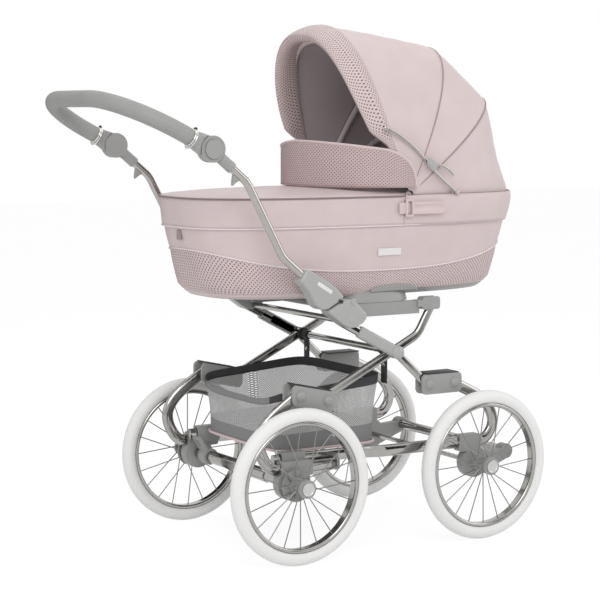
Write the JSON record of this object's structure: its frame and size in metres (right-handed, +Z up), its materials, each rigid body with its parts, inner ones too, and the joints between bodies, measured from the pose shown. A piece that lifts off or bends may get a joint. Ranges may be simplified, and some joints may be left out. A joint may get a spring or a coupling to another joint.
{
  "type": "bassinet pram",
  "caption": "Classic bassinet pram: folding scissor frame on spoked wheels with white tyres, reversible lift-off bassinet, folding hood, mesh basket and tilting push bar.",
  "frame": {"origin": "floor level, at the middle of the whole pram's length and width", "axes": "+Z up; +X from the push bar towards the hood end; +Y across to the left side, seen when facing +X"},
  "size_m": [1.1525, 0.601, 1.2123],
  "materials": {
    "white_rubber": "white moulded rubber, matt",
    "dark_chrome": "dark chrome plate, polished",
    "grey_plastic": "warm grey moulded plastic, fine texture",
    "grey_leather": "grey leatherette, fine grain",
    "pink_leather": "pale pink leatherette, soft sheen",
    "perforated_pink": "pale pink leatherette with small punched dots",
    "basket_mesh": "grey open mesh with charcoal binding",
    "dark_webbing": "charcoal webbing",
    "mattress_cloth": "white cotton cover"
  },
  "bodies": {
    "rear_unit": {"rear_spring_tube_left": "dark_chrome", "rear_spring_tube_right": "dark_chrome", "rear_axle_blocks": "grey_plastic", "rear_axle": "dark_chrome", "rear_cross_tube": "dark_chrome", "tail_end_caps": "grey_plastic", "basket": "basket_mesh"},
    "rear_scissor": {"rear_legs": "dark_chrome", "rear_knuckles": "grey_plastic", "scissor_axle": "dark_chrome", "basket_straps": "dark_webbing"},
    "front_scissor": {"front_legs": "dark_chrome", "front_knuckles": "grey_plastic", "hinge_bases": "grey_plastic", "hinge_pins": "dark_chrome", "carrier_rest_tube": "dark_chrome"},
    "front_unit": {"front_spring_tube_left": "dark_chrome", "front_spring_tube_right": "dark_chrome", "front_axle_blocks": "grey_plastic", "front_axle": "dark_chrome", "front_cross_tube": "dark_chrome"},
    "carrier": {"carrier_frame": "grey_plastic"},
    "handle": {"hinge_uppers": "grey_plastic", "handle_tube_left": "dark_chrome", "handle_tube_right": "dark_chrome", "handle_sleeves": "grey_plastic"},
    "grip": {"grip_bow": "grey_plastic", "grip_cover": "grey_leather", "bag_rings": "dark_chrome"},
    "tilt_button_l": {"tilt_button_left": "grey_plastic"},
    "tilt_button_r": {"tilt_button_right": "grey_plastic"},
    "fold_trigger_pair": {"fold_triggers": "grey_plastic"},
    "bassinet": {"bassinet_base": "grey_plastic", "bassinet_shell": "pink_leather", "mattress": "mattress_cloth", "apron": "pink_leather", "wind_flap": "perforated_pink", "side_buckles": "grey_plastic", "hood_pivot_brackets": "grey_plastic"},
    "hood_rear": {"hood_bow_rear": "dark_chrome", "hood_gore_rear": "pink_leather"},
    "hood_mid": {"hood_bow_mid": "dark_chrome", "hood_gore_mid": "pink_leather"},
    "hood_front": {"hood_front_band": "perforated_pink", "hood_gore_front": "pink_leather"},
    "stay_upper": {"hood_stay_upper": "grey_plastic"},
    "stay_lower": {"hood_stay_lower": "grey_plastic"},
    "brake": {"brake_pedal": "grey_plastic"},
    "wheel_rear_left": {"tyre_rear_left": "white_rubber", "spoked_rim_rear_left": "dark_chrome", "hub_rear_left": "grey_plastic"},
    "wheel_rear_right": {"tyre_rear_right": "white_rubber", "spoked_rim_rear_right": "dark_chrome", "hub_rear_right": "grey_plastic"},
    "wheel_front_left": {"tyre_front_left": "white_rubber", "spoked_rim_front_left": "dark_chrome", "hub_front_left": "grey_plastic"},
    "wheel_front_right": {"tyre_front_right": "white_rubber", "spoked_rim_front_right": "dark_chrome", "hub_front_right": "grey_plastic"}
  },
  "joints": [
    {"name": "frame_fold", "type": "hinge", "parent": "rear_unit", "child": "rear_scissor", "pos_m": [-0.11931, 0, 0.376], "axis": [0, 1, 0], "range_deg": [0, 15], "deforming": ["basket"]},
    {"name": "front_scissor_turn", "type": "hinge", "parent": "rear_scissor", "child": "front_scissor", "pos_m": [0.14819, 0, 0.456], "axis": [0, 1, 0], "range_deg": [-39.69, 0]},
    {"name": "front_unit_level", "type": "hinge", "parent": "front_scissor", "child": "front_unit", "pos_m": [0.30669, 0, 0.376], "axis": [0, 1, 0], "range_deg": [0, 24.69]},
    {"name": "carrier_level", "type": "hinge", "parent": "rear_scissor", "child": "carrier", "pos_m": [0.26319, 0, 0.566], "axis": [0, 1, 0], "range_deg": [-15.5, 0]},
    {"name": "handle_fold", "type": "hinge", "parent": "front_scissor", "child": "handle", "pos_m": [0.01119, 0, 0.583], "axis": [0, 1, 0], "range_deg": [0, 38]},
    {"name": "handle_tilt", "type": "hinge", "parent": "handle", "child": "grip", "pos_m": [-0.34781, 0, 0.93], "axis": [0, 1, 0], "range_deg": [-40, 30]},
    {"name": "tilt_press_left", "type": "slide", "parent": "grip", "child": "tilt_button_l", "axis": [0, -1, 0], "range_m": [0, 0.002], "stiffness_N_per_m": 700, "springref_m": -0.003},
    {"name": "tilt_press_right", "type": "slide", "parent": "grip", "child": "tilt_button_r", "axis": [0, 1, 0], "range_m": [0, 0.002], "stiffness_N_per_m": 700, "springref_m": -0.003},
    {"name": "fold_pull", "type": "slide", "parent": "handle", "child": "fold_trigger_pair", "axis": [-0.7738, 0, 0.6334], "range_m": [0, 0.003], "stiffness_N_per_m": 500, "springref_m": -0.004},
    {"name": "bassinet_lift", "type": "slide", "parent": "carrier", "child": "bassinet", "axis": [0, 0, 1], "range_m": [0, 0.3]},
    {"name": "hood_fold", "type": "hinge", "parent": "bassinet", "child": "hood_rear", "pos_m": [0.19419, 0, 0.8194], "axis": [0, 1, 0], "range_deg": [0, 24], "deforming": ["hood_gore_rear", "hood_gore_mid", "hood_gore_front"]},
    {"name": "hood_mid_turn", "type": "hinge", "parent": "hood_rear", "child": "hood_mid", "pos_m": [0.19419, 0, 0.8194], "axis": [0, 1, 0], "range_deg": [0, 17.5]},
    {"name": "hood_front_turn", "type": "hinge", "parent": "hood_mid", "child": "hood_front", "pos_m": [0.19419, 0, 0.8194], "axis": [0, 1, 0], "range_deg": [0, 38.5]},
    {"name": "stay_upper_turn", "type": "hinge", "parent": "hood_front", "child": "stay_upper", "pos_m": [0.12586, 0, 0.97288], "axis": [0, 1, 0], "range_deg": [0, 28.39]},
    {"name": "stay_lower_turn", "type": "hinge", "parent": "bassinet", "child": "stay_lower", "pos_m": [0.32519, 0, 0.8224], "axis": [0, 1, 0], "range_deg": [-37.77, 0]},
    {"name": "brake_press", "type": "hinge", "parent": "rear_unit", "child": "brake", "pos_m": [-0.13931, 0, 0.178], "axis": [0, 1, 0], "range_deg": [-18, 0]},
    {"name": "wheel_rear_left_spin", "type": "hinge", "parent": "rear_unit", "child": "wheel_rear_left", "pos_m": [-0.13931, 0, 0.178], "axis": [0, 1, 0], "continuous": true},
    {"name": "wheel_rear_right_spin", "type": "hinge", "parent": "rear_unit", "child": "wheel_rear_right", "pos_m": [-0.13931, 0, 0.178], "axis": [0, 1, 0], "continuous": true},
    {"name": "wheel_front_left_spin", "type": "hinge", "parent": "front_unit", "child": "wheel_front_left", "pos_m": [0.37169, 0, 0.178], "axis": [0, 1, 0], "continuous": true},
    {"name": "wheel_front_right_spin", "type": "hinge", "parent": "front_unit", "child": "wheel_front_right", "pos_m": [0.37169, 0, 0.178], "axis": [0, 1, 0], "continuous": true}
  ],
  "couplings": [
    {"joint": "front_scissor_turn", "follows": "frame_fold", "ratio": -2.6124},
    {"joint": "front_unit_level", "follows": "frame_fold", "ratio": 1.6124},
    {"joint": "carrier_level", "follows": "frame_fold", "ratio": -1},
    {"joint": "hood_mid_turn", "follows": "hood_fold", "ratio": 0.70833},
    {"joint": "hood_front_turn", "follows": "hood_fold", "ratio": 1.5833},
    {"joint": "stay_upper_turn", "follows": "hood_fold", "ratio": 1.1622},
    {"joint": "stay_lower_turn", "follows": "hood_fold", "ratio": -1.5531}
  ]
}
